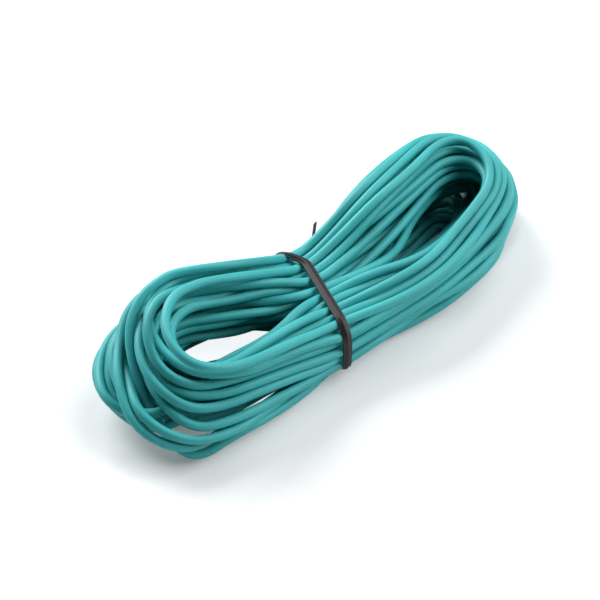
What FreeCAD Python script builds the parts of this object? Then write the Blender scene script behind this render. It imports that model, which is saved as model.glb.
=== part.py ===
"""A hank of insulated hook-up wire, drawn in at its middle by one twist tie.

Millimetres. X runs along the hank, its near end at -X. Y runs across it, its front
at -Y. Z is up from the surface that it lies on. The origin is the middle of the
underside of its bounding box.
"""

import FreeCAD
import Part
import math
import os

# The wire: a stranded copper conductor in a PVC jacket
wire_od = 2.1
conductor_d = 0.95
bore_clearance = 0.02
flat_depth = 0.5

# How the loops lie: layers that spiral in and out in turn, one place every step
layers = 4
outer_place = 5.5
waist_step = 2.65
near_step = 2.95
far_step = 2.8

# The near end, which fans out and stands up at the back
near_reach = 35.0
near_fan = 0.9
near_tilt = 24.0
near_eye = 3.2
near_layer_step = 4.4

# The far end
far_reach = 43.0
far_tilt = 20.0
far_eye = 3.0
far_layer_step = 4.2

# The waist, straight where the tie grips it
waist_run = 5.0
waist_layer_step = 3.67
waist_squash = 0.26

# The tie: a flat plastic ribbon with a raised rib over its steel core
tie_width = 2.2
tie_web = 0.42
tie_rib_width = 1.0
tie_rib_crown = 0.5
tie_thickness = 0.75
tie_core_d = 0.4
tie_core_clearance = 0.02
tie_clearance = 0.3
tie_corner_radius = 3.3

# The twist behind the waist, folded along the hank, and the two tails that leave it
twist_height = 8.0
twist_exit_radius = 0.8
twist_stem = 0.4
twist_pair_gap = 0.12
twist_turns = 1.5
twist_length = 7.0
twist_fold = 78.0
twist_fold_radius = 2.0
tail_bend_radius = 1.6
upper_tail_bend = 78.0
upper_tail_length = 4.5
upper_tail_turn = 70.0
lower_tail_bend = 40.0
lower_tail_length = 3.0
lower_tail_turn = -30.0

wire_radius = wire_od / 2.0
front = -1
back = 1


def waist_level(level, across):
    """Height of a layer over the waist's middle; the layers close up towards its sides."""
    side = abs(across) / (outer_place * waist_step)
    return level * waist_layer_step * (1.0 - waist_squash * side ** 4)


def across_at(eye, step, side, place):
    """Distance of a strand from the hank's middle line, in the plane of its loop."""
    return side * (eye + place * step) - step / 4.0


def lowest(eye, step, layer_step, tilt):
    """Depth of the lowest strand of an end under that end's middle."""
    down = across_at(eye, step, front, outer_place - 0.5)
    return down * math.sin(tilt) - (layers - 1) / 2.0 * layer_step * math.cos(tilt)


def end_point(x, eye, step, layer_step, tilt_degrees, side, place, layer):
    """Centre of a strand where it enters or leaves the half turn of an end."""
    tilt = math.radians(tilt_degrees)
    across = across_at(eye, step, side, place)
    level = (layer - (layers - 1) / 2.0) * layer_step
    middle = wire_radius - flat_depth - lowest(eye, step, layer_step, tilt)
    y = across * math.cos(tilt) - level * math.sin(tilt)
    z = middle + across * math.sin(tilt) + level * math.cos(tilt)
    return FreeCAD.Vector(x, y, z)


def near_point(side, place, layer):
    """A strand at the near end, whose lower layers reach further out."""
    x = -(near_reach + near_fan * ((layers - 1) / 2.0 - layer))
    return end_point(x, near_eye, near_step, near_layer_step, near_tilt, side, place, layer)


def far_point(side, place, layer):
    """A strand at the far end."""
    return end_point(far_reach, far_eye, far_step, far_layer_step, far_tilt, side, place, layer)


waist_middle = (tie_thickness + tie_clearance + wire_radius
                + (layers - 1) / 2.0 * waist_layer_step)


def waist_point(x, side, place, layer):
    """A strand under the tie; a climbing strand passes midway between two layers."""
    across = across_at(waist_step / 4.0, waist_step, side, place)
    level = waist_level(layer - (layers - 1) / 2.0, across)
    return FreeCAD.Vector(x, across, waist_middle + level)


def bend(start, end):
    """Two equal arcs from one point to another, both ends running along X."""
    chord = end - start
    along = chord.x
    aside = FreeCAD.Vector(0.0, chord.y, chord.z)
    rise = aside.Length
    if rise < 1e-6:
        return [Part.makeLine(start, end)]
    aside.normalize()
    radius = (along * along + rise * rise) / (4.0 * rise)
    half = math.asin(abs(along) / 2.0 / radius) / 2.0
    step = FreeCAD.Vector(math.copysign(radius * math.sin(half), along), 0.0, 0.0)
    step += aside * (radius * (1.0 - math.cos(half)))
    middle = (start + end) * 0.5
    radii.append(radius)
    return [Part.Arc(start, start + step, middle).toShape(),
            Part.Arc(middle, end - step, end).toShape()]


def half_turn(start, end, outward):
    """The half turn round an end, as two quarter turns."""
    middle = (start + end) * 0.5
    radius = (end - start).Length / 2.0
    reach = FreeCAD.Vector(outward * radius, 0.0, 0.0)
    spoke = (end - start) * 0.5
    slant = math.sqrt(0.5)
    apex = middle + reach
    radii.append(radius)
    return [Part.Arc(start, middle + (reach - spoke) * slant, apex).toShape(),
            Part.Arc(apex, middle + (reach + spoke) * slant, end).toShape()]


def strand_list():
    """Every strand through the waist in the order of the wire: side, place, layers."""
    strands = []
    inward = [outer_place - 0.5 * n for n in range(1, int(2 * outer_place))]
    strands.append((outer_place, 0, 0))
    for layer in range(layers):
        places = inward if layer % 2 == 0 else inward[::-1]
        strands += [(place, layer, layer) for place in places]
        if layer < layers - 1:
            turn_place = 0.0 if layer % 2 == 0 else outer_place
            strands.append((turn_place, layer, layer + 1))
    strands.append((outer_place, layers - 1, layers - 1))
    return strands


radii = []


def wire_path():
    """The wire's centre line, from one cut end at the back of the waist to the other."""
    edges = []
    half_run = waist_run / 2.0
    strands = strand_list()
    last = len(strands) - 1
    here = None
    for number, (place, layer_in, layer_out) in enumerate(strands):
        side = back if number % 2 == 0 else front
        heading = -side
        layer_mid = (layer_in + layer_out) / 2.0
        enter = waist_point(-heading * half_run, side, place, layer_mid)
        leave = waist_point(heading * half_run, side, place, layer_mid)
        come = near_point if heading > 0 else far_point
        go = far_point if heading > 0 else near_point
        if number > 0:
            arrive = come(side, place, layer_in)
            edges += half_turn(here, arrive, -heading)
            edges += bend(arrive, enter)
        edges.append(Part.makeLine(enter, leave))
        if number < last:
            here = go(side, place, layer_out)
            edges += bend(leave, here)
    return edges


def least_gap(edges):
    """Least gap of the wire to itself, found on points along its centre line."""
    spacing = 0.5
    apart = 3.0 * wire_od
    cell = 1.5 * wire_od
    points = []
    travelled = 0.0
    for edge in edges:
        count = max(2, int(edge.Length / spacing))
        run = edge.discretize(Number=count + 1)
        points += [(p, travelled + edge.Length * n / count) for n, p in enumerate(run[:-1])]
        travelled += edge.Length
    boxes = {}
    least = cell
    for p, s in points:
        key = (int(p.x // cell), int(p.y // cell), int(p.z // cell))
        for i in range(key[0] - 1, key[0] + 2):
            for j in range(key[1] - 1, key[1] + 2):
                for k in range(key[2] - 1, key[2] + 2):
                    for other, t in boxes.get((i, j, k), ()):
                        if abs(s - t) > apart:
                            least = min(least, (p - other).Length)
        boxes.setdefault(key, []).append((p, s))
    return least - wire_od


def ribbon_section(middle, wide, thick):
    """The ribbon's outline square to its run: a flat back, a web and a raised rib."""
    low = -tie_thickness / 2.0
    web = low + tie_web
    crown = tie_thickness / 2.0
    outline = [(-tie_width / 2.0, low), (tie_width / 2.0, low), (tie_width / 2.0, web),
               (tie_rib_width / 2.0, web), (tie_rib_crown / 2.0, crown),
               (-tie_rib_crown / 2.0, crown), (-tie_rib_width / 2.0, web),
               (-tie_width / 2.0, web)]
    points = [middle + wide * w + thick * t for w, t in outline]
    return Part.makePolygon(points + points[:1])


def core_section(middle, wide, thick, radius):
    """A round core, drawn with eight sides that touch its circle's outside."""
    sides = 8
    corner = radius / math.cos(math.pi / sides)
    turns = [2.0 * math.pi * (n + 0.5) / sides for n in range(sides)]
    points = [middle + wide * (corner * math.cos(a)) + thick * (corner * math.sin(a))
              for a in turns]
    return Part.makePolygon(points + points[:1])


def twist_stations():
    """Axis point and frame along the twist, from its root to its free end."""
    along_y = FreeCAD.Vector(0.0, 1.0, 0.0)
    up = FreeCAD.Vector(0.0, 0.0, 1.0)
    fold = math.radians(twist_fold)
    fold_run = twist_fold_radius * fold
    count = int(round(twist_turns * 12.0))
    stations = []
    for n in range(count + 1):
        run = twist_length * n / count
        turned = min(max(run - twist_stem, 0.0) / twist_fold_radius, fold)
        rest = max(run - twist_stem - fold_run, 0.0)
        heading = FreeCAD.Vector(math.sin(turned), math.cos(turned), 0.0)
        wide = FreeCAD.Vector(math.cos(turned), -math.sin(turned), 0.0)
        point = twist_root + along_y * min(run, twist_stem)
        point += FreeCAD.Vector(twist_fold_radius * (1.0 - math.cos(turned)),
                                twist_fold_radius * math.sin(turned), 0.0)
        point += heading * rest
        angle = 2.0 * math.pi * twist_turns * n / count
        wide_now = wide * math.cos(angle) + up * math.sin(angle)
        thick_now = up * math.cos(angle) - wide * math.sin(angle)
        stations.append((point, heading, wide_now, thick_now))
    return stations


def tail_stations(start, heading, wide, thick, bend_angle, length, turn_angle):
    """A free tail: it bends towards its rib, then runs straight and turns over."""
    stations = []
    bend_steps = 4
    turn_steps = 4
    radius = tail_bend_radius + tie_thickness / 2.0
    for n in range(1, bend_steps + 1):
        angle = math.radians(bend_angle) * n / bend_steps
        forward = heading * math.cos(angle) + thick * math.sin(angle)
        point = start + heading * (radius * math.sin(angle))
        point += thick * (radius * (1.0 - math.cos(angle)))
        stations.append((point, wide, thick * math.cos(angle) - heading * math.sin(angle)))
    point, wide, thick = stations[-1]
    for n in range(1, turn_steps + 1):
        angle = math.radians(turn_angle) * n / turn_steps
        stations.append((point + forward * (length * n / turn_steps),
                         wide * math.cos(angle) + thick * math.sin(angle),
                         thick * math.cos(angle) - wide * math.sin(angle)))
    return stations


def band_stations():
    """The ribbon round the waist, from the upper side of its root to the lower one."""
    wide = FreeCAD.Vector(1.0, 0.0, 0.0)
    half = tie_thickness / 2.0
    pair = twist_pair_gap / 2.0
    exit_centre = twist_exit_radius + tie_thickness
    steps = 4
    stations = []

    def arc(centre_y, centre_z, radius, start, stop, outward):
        for n in range(steps + 1):
            angle = math.radians(start + (stop - start) * n / steps)
            spoke = FreeCAD.Vector(0.0, math.cos(angle), math.sin(angle))
            centre = FreeCAD.Vector(0.0, centre_y, centre_z)
            stations.append((centre + spoke * radius, wide, spoke * outward))

    bent = twist_exit_radius + half
    arc(band_half_width + exit_centre, twist_height + pair + exit_centre, bent, 270.0, 180.0, -1.0)
    corner = tie_corner_radius
    right = band_half_width - corner
    high = band_half_height - corner
    rounded = corner + half
    arc(right, waist_middle + high, rounded, 0.0, 90.0, 1.0)
    arc(-right, waist_middle + high, rounded, 90.0, 180.0, 1.0)
    arc(-right, waist_middle - high, rounded, 180.0, 270.0, 1.0)
    arc(right, waist_middle - high, rounded, 270.0, 360.0, 1.0)
    arc(band_half_width + exit_centre, twist_height - pair - exit_centre, bent, 180.0, 90.0, -1.0)
    return stations


band_half_width = (across_at(waist_step / 4.0, waist_step, back, outer_place)
                   + wire_radius + tie_clearance)
band_half_height = (layers - 1) / 2.0 * waist_layer_step + wire_radius + tie_clearance
twist_root = FreeCAD.Vector(0.0, band_half_width + twist_exit_radius + tie_thickness, twist_height)


def tie_stations():
    """The whole ribbon, from the tip of one tail round the hank to the tip of the other."""
    offset = twist_pair_gap / 2.0 + tie_thickness / 2.0
    twist = twist_stations()
    first = [(point + thick * offset, wide, thick) for point, heading, wide, thick in twist]
    second = [(point - thick * offset, wide, thick * -1.0) for point, heading, wide, thick in twist]
    heading = twist[-1][1]
    lower = tail_stations(first[-1][0], heading, first[-1][1], first[-1][2],
                          lower_tail_bend, lower_tail_length, lower_tail_turn)
    upper = tail_stations(second[-1][0], heading, second[-1][1], second[-1][2],
                          upper_tail_bend, upper_tail_length, upper_tail_turn)
    return lower[::-1] + first[:0:-1] + band_stations() + second[1:] + upper


def tie_solids():
    """The plastic ribbon with its bore, and the steel core that fills it."""
    stations = tie_stations()
    ribbon = Part.makeLoft([ribbon_section(*s) for s in stations], True, True)
    bore_radius = tie_core_d / 2.0 + tie_core_clearance
    bore = Part.makeLoft([core_section(*s, bore_radius) for s in stations], True, True)
    core = Part.makeLoft([core_section(*s, tie_core_d / 2.0) for s in stations], True, True)
    return ribbon.cut(bore), core


def wire_solids():
    """The jacket, cut flat where it lies, and the conductor inside it."""
    edges = wire_path()
    path = Part.Wire(edges)
    start = path.OrderedVertexes[0].Point
    along = FreeCAD.Vector(1.0, 0.0, 0.0)

    def tube(radius):
        ring = Part.Wire(Part.makeCircle(radius, start, along))
        return path.makePipeShell([ring], True, False)

    jacket = tube(wire_radius).cut(tube(conductor_d / 2.0 + bore_clearance))
    size = 4.0 * (near_reach + far_reach)
    floor = Part.makeBox(size, size, wire_od, FreeCAD.Vector(-size / 2.0, -size / 2.0, -wire_od))
    print("loops", (len(strand_list()) - 1) / 2.0)
    print("wire length, mm", round(path.Length, 1))
    print("section times length, mm3", round(math.pi * wire_radius ** 2 * path.Length, 1))
    print("least radius, mm", round(min(radii), 2))
    print("least gap of the wire to itself, mm", round(least_gap(edges), 3))
    return jacket.cut(floor), tube(conductor_d / 2.0)


def write_parts():
    """Each piece to its own file, with the origin under the middle of the whole."""
    jacket, conductor = wire_solids()
    ribbon, core = tie_solids()
    pieces = {"wire_insulation": jacket, "wire_conductor": conductor,
              "tie_coating": ribbon, "tie_core_wire": core}
    box = Part.makeCompound(list(pieces.values())).optimalBoundingBox(False)
    middle = FreeCAD.Vector(-box.Center.x, -box.Center.y, 0.0)
    os.makedirs("parts", exist_ok=True)
    for name, shape in pieces.items():
        placed = shape.translated(middle)
        placed.exportStep("parts/" + name + ".step")
        print(name, placed.ShapeType, "solids", len(placed.Solids), "valid", placed.isValid(),
              "volume", round(placed.Volume, 1))


write_parts()
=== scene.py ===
"""A tied hank of teal hook-up wire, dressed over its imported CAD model.

Everything is in metres, in the CAD model's own frame.
"""

import math

import bpy
import numpy as np
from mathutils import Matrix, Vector


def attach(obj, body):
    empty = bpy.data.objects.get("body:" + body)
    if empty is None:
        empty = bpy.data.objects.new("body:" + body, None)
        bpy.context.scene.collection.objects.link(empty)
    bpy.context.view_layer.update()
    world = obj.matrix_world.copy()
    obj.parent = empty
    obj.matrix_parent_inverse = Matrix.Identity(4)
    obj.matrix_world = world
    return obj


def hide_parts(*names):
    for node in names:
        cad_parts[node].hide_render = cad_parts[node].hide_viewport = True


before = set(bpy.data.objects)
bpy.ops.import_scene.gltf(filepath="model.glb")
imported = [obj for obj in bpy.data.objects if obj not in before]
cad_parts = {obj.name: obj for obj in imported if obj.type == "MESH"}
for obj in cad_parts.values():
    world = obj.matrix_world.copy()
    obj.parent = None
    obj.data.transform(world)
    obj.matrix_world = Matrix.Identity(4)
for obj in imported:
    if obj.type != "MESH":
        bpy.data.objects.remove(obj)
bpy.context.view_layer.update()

scene = bpy.context.scene
scene.view_settings.view_transform = "Standard"


# ---------------------------------------------------------------- the camera
# A short telephoto look from the front left and above. The hank lies on its underside
# and points away to the upper right, and the look goes to a point just behind its waist.

look_at = Vector((-0.0039, 0.0035, 0.0080))
look_distance = 0.3915
look_elevation = math.radians(42.8)
look_azimuth = math.radians(42.7)
lens_pixels = 1705.0
picture_pixels = 600.0

toward = Vector((-math.sin(look_azimuth) * math.cos(look_elevation),
                 -math.cos(look_azimuth) * math.cos(look_elevation),
                 math.sin(look_elevation)))
bpy.ops.object.camera_add(location=look_at + toward * look_distance,
                          rotation=toward.to_track_quat("Z", "Y").to_euler())
camera = bpy.context.object
camera.name = "photo_camera"
camera.data.sensor_width = 36.0
camera.data.lens = camera.data.sensor_width * lens_pixels / picture_pixels
camera.data.clip_start = 0.01
camera.data.clip_end = 20.0
scene.camera = camera


# ------------------------------------------------------- the hook-up wire
# One unbroken length of stranded copper in a teal PVC jacket, 2.1 mm over all. It was
# wound into long flat loops on two pegs, taken off, and drawn in at the middle by a tie.
# At both ends its loops have sprung apart. The sizes here are in millimetres.

MM = 0.001
wire_od = 2.1
# what two strands that touch keep between their middles
wire_gap = 2.12
# where the tie goes round in plan, with its slant, the waist's middle and its lowest strands
tie_x, tie_slant = -3.7, 0.32
waist_y, waist_low = -2.6, 1.88
# the middles that the sections of the two ends fan out from, and the cuts on the way there
near_middle, far_middle = (-32.0, 6.0), (43.0, 1.5)
near_cuts, far_cuts = (-12.0, -22.0), (8.0, 20.0, 32.0)
fan_steps, fan_angle = range(-4, 5), math.radians(22.5)
# the place of the wire in each section as (out, height): first its start, then its turns, each
# from the tie's back round the near end to the tie's front and round the far end, then its end
wire_start = (13.6, 7.3)
wire_finish = [(11.8, 9.0), (13.0, 9.1)]
turns = [
    [(14.5, 7.8), (14.8, 12.1), (16.3, 15.2), (12.1, 18.6), (13.3, 19.4), (15.3, 18.1),
     (17.2, 15.7), (21.7, 14.6), (28.2, 10.3), (28.3, 5.9), (20.7, 4.5), (18.6, 3.6), (-11.4, 2.3),
     (-9.9, 1.5), (-7.3, 1.8), (-9.8, 1.8), (-10.5, 2.3), (-10.1, 2.7), (9.3, 3.4), (9.3, 3.9),
     (10.5, 4.3), (15.7, 5.6), (19.7, 8.0), (21.0, 9.1), (17.3, 10.2), (12.4, 10.3), (10.8, 10.4),
     (9.8, 10.4), (7.5, 8.5), (4.2, 5.2)],
    [(4.9, 6.7), (10.9, 4.7), (13.0, 6.8), (10.7, 7.6), (12.3, 7.9), (14.7, 7.7), (16.2, 7.1),
     (16.4, 6.5), (15.1, 5.2), (12.8, 3.9), (11.3, 3.7), (11.3, 3.7), (-7.3, 4.7), (-9.2, 5.9),
     (-7.2, 5.9), (-10.5, 6.2), (-11.6, 6.7), (-10.8, 7.1), (9.5, 7.8), (9.4, 8.1), (10.5, 8.4),
     (13.1, 9.3), (14.7, 11.8), (13.1, 11.3), (10.5, 14.0), (8.8, 14.2), (8.0, 14.3), (8.0, 14.7),
     (7.2, 13.2), (3.3, 9.2)],
    [(4.9, 9.2), (5.3, 10.1), (6.6, 10.2), (6.4, 11.3), (7.2, 11.5), (10.4, 11.7), (14.2, 10.5),
     (17.0, 8.7), (17.0, 6.9), (14.8, 5.1), (13.2, 5.0), (13.5, 5.2), (-9.9, 6.1), (-10.7, 7.7),
     (-8.3, 8.0), (-11.4, 8.4), (-12.2, 8.8), (-11.0, 9.2), (9.9, 9.9), (9.6, 10.2), (10.3, 10.6),
     (11.9, 11.2), (12.6, 12.4), (11.2, 13.6), (8.5, 15.3), (6.9, 15.8), (6.5, 15.9), (5.7, 17.2),
     (4.1, 14.5), (5.6, 11.1)],
    [(8.0, 9.1), (7.0, 11.9), (11.3, 12.9), (8.3, 14.5), (9.5, 14.8), (13.3, 15.2), (17.7, 13.5),
     (18.8, 13.3), (26.7, 13.0), (27.6, 8.0), (24.2, 6.3), (21.3, 5.2), (-14.0, 4.5), (-12.7, 3.9),
     (-10.6, 3.8), (-13.2, 4.7), (-13.2, 4.9), (-12.4, 5.4), (11.4, 6.7), (11.7, 7.1), (13.3, 8.2),
     (15.4, 10.4), (17.2, 11.5), (14.7, 12.9), (12.7, 14.9), (10.1, 16.0), (9.1, 16.2), (8.1, 17.1),
     (5.9, 16.5), (3.9, 13.1)],
    [(6.3, 10.3), (5.7, 13.9), (6.3, 11.8), (4.7, 15.9), (5.1, 15.2), (8.6, 15.1), (12.9, 12.7),
     (14.8, 10.3), (13.7, 7.3), (10.7, 5.1), (9.3, 5.1), (9.3, 5.2), (-5.6, 6.3), (-8.1, 7.7),
     (-6.3, 8.2), (-8.7, 7.4), (-9.2, 6.6), (-8.7, 6.1), (7.3, 6.0), (7.5, 5.9), (8.9, 6.0),
     (12.2, 5.8), (18.6, 6.0), (19.7, 6.4), (14.2, 10.5), (10.0, 10.8), (8.8, 11.3), (8.5, 12.1),
     (7.0, 10.8), (5.3, 7.7)],
    [(6.4, 7.8), (8.2, 9.8), (11.4, 10.8), (8.7, 12.3), (10.2, 12.8), (12.9, 12.9), (15.3, 12.4),
     (17.3, 12.1), (17.8, 12.6), (16.8, 13.3), (15.4, 13.2), (15.1, 12.9), (-10.3, 12.7),
     (-12.2, 12.2), (-10.5, 12.0), (-13.6, 12.6), (-14.5, 13.3), (-13.4, 13.7), (12.3, 14.6),
     (11.8, 15.1), (12.3, 16.9), (12.0, 18.2), (11.4, 18.6), (11.5, 18.8), (10.7, 19.6),
     (9.3, 20.5), (8.9, 20.8), (8.1, 21.8), (6.9, 21.2), (7.7, 14.9)],
    [(10.2, 12.5), (9.8, 15.3), (11.9, 17.8), (8.5, 20.9), (8.8, 21.2), (10.4, 21.4), (12.6, 20.6),
     (16.5, 19.8), (21.2, 17.6), (22.8, 12.9), (20.6, 11.3), (19.7, 10.3), (-14.5, 8.6),
     (-15.4, 6.7), (-11.4, 6.2), (-15.5, 6.9), (-16.9, 7.2), (-18.8, 8.7), (16.5, 8.8), (14.7, 9.2),
     (15.3, 9.1), (17.6, 9.6), (19.5, 11.3), (19.8, 11.8), (16.6, 12.6), (13.2, 12.5), (11.8, 12.3),
     (11.2, 12.5), (10.4, 9.9), (6.9, 3.6)],
    [(12.6, 3.3), (12.3, 3.9), (15.4, 5.7), (13.0, 7.0), (14.9, 7.6), (17.2, 7.7), (18.8, 7.4),
     (19.5, 6.9), (18.6, 5.5), (16.7, 3.9), (15.0, 3.8), (15.5, 4.3), (-12.1, 6.3), (-12.8, 8.0),
     (-10.6, 8.1), (-13.6, 8.6), (-14.4, 9.1), (-13.3, 9.6), (12.8, 10.7), (12.7, 11.2),
     (13.8, 12.3), (15.8, 13.6), (17.3, 15.0), (17.4, 14.9), (16.2, 15.5), (14.2, 16.3),
     (13.2, 16.6), (12.7, 17.8), (11.6, 15.8), (11.3, 7.0)],
    [(11.9, 4.8), (14.5, 8.3), (17.0, 9.2), (13.6, 11.3), (15.9, 12.2), (19.7, 11.9), (23.2, 11.1),
     (26.6, 10.4), (22.1, 6.7), (14.5, 8.0), (11.7, 8.2), (11.0, 7.9), (-5.1, 8.3), (-5.0, 9.6),
     (-3.1, 10.3), (-5.2, 9.4), (-5.0, 8.4), (-4.2, 7.5), (3.8, 7.7), (3.4, 7.6), (3.9, 7.5),
     (4.6, 7.7), (10.2, 5.3), (23.1, 2.7), (14.6, 4.8), (8.9, 6.6), (7.7, 7.1), (5.1, 9.2),
     (2.2, 10.9), (0.0, 12.2)],
    [(2.5, 12.8), (0.1, 13.3), (3.9, 15.2), (2.1, 16.6), (2.7, 16.8), (3.8, 17.0), (8.5, 16.9),
     (12.2, 14.0), (12.4, 11.1), (10.0, 8.3), (8.7, 8.0), (8.4, 8.3), (-5.2, 10.8), (-8.1, 11.9),
     (-6.1, 12.2), (-8.9, 11.6), (-9.8, 10.7), (-9.0, 10.5), (8.3, 11.5), (8.3, 11.9), (9.7, 12.6),
     (11.6, 13.4), (11.5, 14.3), (10.6, 16.0), (9.3, 17.4), (7.7, 18.2), (7.5, 18.5), (7.2, 19.9),
     (6.3, 19.1), (6.4, 12.9)],
    [(8.7, 11.1), (8.3, 13.9), (11.1, 15.1), (7.7, 16.5), (8.6, 16.8), (10.6, 16.7), (12.9, 15.1),
     (14.7, 12.6), (14.5, 10.0), (12.5, 6.7), (11.3, 6.0), (11.4, 5.8), (-7.8, 6.6), (-9.5, 9.6),
     (-7.3, 10.1), (-10.8, 10.4), (-12.0, 11.3), (-10.6, 12.1), (9.6, 13.5), (9.6, 14.1),
     (10.5, 15.2), (12.4, 15.9), (12.9, 16.9), (13.7, 17.6), (13.1, 19.0), (11.7, 20.2),
     (11.1, 20.7), (10.5, 21.9), (9.0, 21.1), (9.8, 14.7)],
    [(12.5, 12.2), (11.1, 17.6), (11.1, 20.1), (4.8, 23.6), (5.3, 23.8), (6.8, 24.6), (9.9, 24.9),
     (14.3, 23.3), (18.4, 19.3), (18.8, 15.9), (17.1, 14.6), (17.2, 13.7), (-12.5, 12.4),
     (-13.8, 10.6), (-11.5, 10.0), (-15.6, 10.8), (-16.2, 11.3), (-14.9, 11.5), (14.0, 12.4),
     (13.8, 13.1), (14.8, 14.4), (15.3, 15.8), (15.5, 16.3), (16.5, 17.0), (16.0, 17.6),
     (13.9, 18.4), (12.9, 18.8), (12.3, 19.8), (10.5, 18.0), (9.6, 8.5)],
    [(10.9, 6.5), (12.8, 11.2), (15.1, 10.2), (11.6, 12.1), (13.3, 12.7), (18.2, 13.8),
     (20.8, 12.2), (24.7, 8.9), (18.6, 7.6), (13.7, 10.2), (11.7, 11.0), (11.0, 12.0), (-4.6, 13.0),
     (-5.7, 11.7), (-4.0, 12.2), (-6.8, 12.2), (-8.3, 12.3), (-8.1, 12.5), (7.4, 13.4), (7.3, 13.8),
     (8.3, 14.3), (10.4, 15.1), (9.6, 15.6), (7.7, 15.5), (5.4, 15.7), (4.0, 15.7), (4.1, 15.7),
     (2.4, 15.6), (-0.5, 14.8), (-1.7, 13.1)],
    [(0.0, 12.6), (0.1, 11.2), (10.5, 9.2), (5.0, 8.7), (5.1, 8.6), (6.4, 8.6), (9.3, 8.2),
     (8.9, 5.1), (5.0, 3.2), (3.8, 3.3), (3.1, 3.3), (3.1, 3.3), (0.2, 4.3), (-2.4, 5.4),
     (-0.9, 5.9), (-3.5, 5.2), (-5.1, 4.0), (-3.4, 1.0), (0.2, 1.1), (0.0, 1.0), (-0.3, 1.1),
     (-0.2, 1.0), (0.7, 1.0), (2.4, 1.1), (4.8, 1.0), (3.8, 1.1), (3.8, 1.1), (2.8, 1.4),
     (-0.4, 2.4), (0.0, 3.4)],
    [(-1.3, 2.9), (17.7, 1.3), (17.2, 2.1), (13.1, 2.8), (11.6, 3.0), (10.3, 3.1), (8.5, 2.7),
     (6.2, 1.7), (4.5, 1.2), (3.7, 1.1), (3.4, 1.1), (3.2, 1.0), (-1.1, 1.1), (-4.3, 1.6),
     (-3.3, 2.1), (-5.5, 1.3), (-6.6, 1.1), (-5.8, 1.0), (4.2, 1.1), (3.8, 1.1), (4.1, 1.1),
     (4.7, 1.1), (6.0, 1.1), (6.4, 1.2), (6.6, 2.0), (5.8, 2.3), (5.8, 2.4), (5.3, 1.7), (5.0, 2.2),
     (-0.7, 6.3)],
    [(7.6, 4.3), (15.3, 0.5), (15.5, 1.1), (10.7, 1.9), (9.6, 2.1), (8.1, 2.0), (5.7, 1.3),
     (2.7, 1.0), (1.9, 1.1), (1.4, 1.1), (1.2, 1.1), (1.4, 1.1), (1.0, 2.2), (-2.7, 3.2),
     (-2.2, 4.2), (-4.9, 3.3), (-3.1, 1.9), (-1.7, 3.1), (1.7, 4.2), (1.4, 4.4), (2.0, 4.6),
     (3.0, 4.6), (4.5, 5.8), (22.0, 0.7), (19.7, 6.2), (11.5, 6.8), (10.1, 7.3), (8.5, 5.8),
     (2.3, 6.4), (-2.0, 8.8)],
    [(-1.9, 11.1), (13.1, 0.2), (13.4, 2.4), (8.0, 3.3), (6.8, 3.4), (1.3, 0.8), (1.4, 1.2),
     (0.5, 1.1), (-0.3, 1.1), (-0.8, 1.1), (-1.1, 1.1), (-1.6, 1.1), (2.8, 1.0), (-1.3, 1.3),
     (-1.6, 0.9), (-2.6, 2.0), (-2.2, 4.3), (-2.0, 5.5), (3.3, 5.6), (3.1, 5.5), (4.3, 5.4),
     (5.2, 5.8), (13.8, 2.2), (25.3, 2.6), (17.3, 3.9), (10.7, 3.2), (9.0, 3.2), (7.6, 2.5),
     (3.2, 4.5), (-1.7, 6.5)],
    [(-0.7, 9.2), (10.0, 3.1), (11.4, 5.9), (8.6, 5.3), (9.3, 5.3), (10.6, 5.2), (11.0, 4.6),
     (10.2, 3.4), (7.7, 2.0), (6.1, 1.7), (5.5, 1.7), (5.6, 1.8), (-2.7, 2.7), (-5.4, 3.6),
     (-4.3, 4.1), (-6.7, 3.6), (-7.1, 3.3), (-5.0, 3.2), (1.5, 1.9), (1.8, 2.2), (2.0, 2.3),
     (2.5, 2.3), (2.9, 2.9), (12.8, 3.1), (12.9, 1.5), (11.3, 1.1), (11.7, 0.9), (9.6, 4.3),
     (4.9, 5.9), (0.2, 7.8)],
    [(1.9, 10.0), (8.9, 4.9), (9.0, 6.4), (6.8, 7.2), (7.2, 7.7), (9.7, 8.1), (11.5, 8.0),
     (11.4, 6.8), (8.3, 4.3), (6.0, 3.9), (5.3, 3.9), (5.2, 4.0), (-2.0, 4.7), (-4.6, 5.6),
     (-3.1, 6.1), (-5.6, 5.7), (-6.5, 5.5), (-6.7, 5.3), (5.1, 5.2), (5.4, 5.2), (6.7, 5.0),
     (8.6, 5.7), (18.5, 2.6), (22.3, 7.4), (15.8, 7.9), (10.5, 8.8), (8.9, 9.1), (7.6, 10.1),
     (5.3, 9.1), (3.0, 7.4)],
    [(3.5, 7.3), (6.5, 8.2), (11.3, 7.8), (8.5, 8.7), (10.1, 8.9), (12.7, 8.9), (14.2, 8.2),
     (14.4, 7.4), (12.7, 4.7), (10.2, 3.0), (8.8, 3.0), (8.9, 3.1), (-4.9, 4.3), (-6.9, 5.7),
     (-5.2, 6.1), (-7.7, 5.5), (-8.6, 4.6), (-8.2, 3.7), (7.2, 3.9), (7.1, 3.7), (8.4, 3.5),
     (11.5, 3.8), (22.4, 3.6), (24.4, 6.6), (19.1, 7.7), (13.5, 8.4), (11.7, 8.5), (10.7, 7.7),
     (7.4, 5.3), (2.1, 3.6)],
    [(0.7, 4.0), (11.6, 2.2), (13.2, 4.6), (11.0, 5.5), (11.7, 5.7), (12.8, 5.8), (12.9, 5.7),
     (12.2, 4.8), (10.4, 2.7), (8.4, 1.4), (7.6, 1.1), (7.8, 1.0), (-4.2, 1.2), (-6.8, 1.7),
     (-5.4, 2.0), (-7.7, 1.4), (-8.4, 1.4), (-6.9, 1.7), (7.6, 2.0), (6.6, 2.0), (6.4, 2.4),
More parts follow.
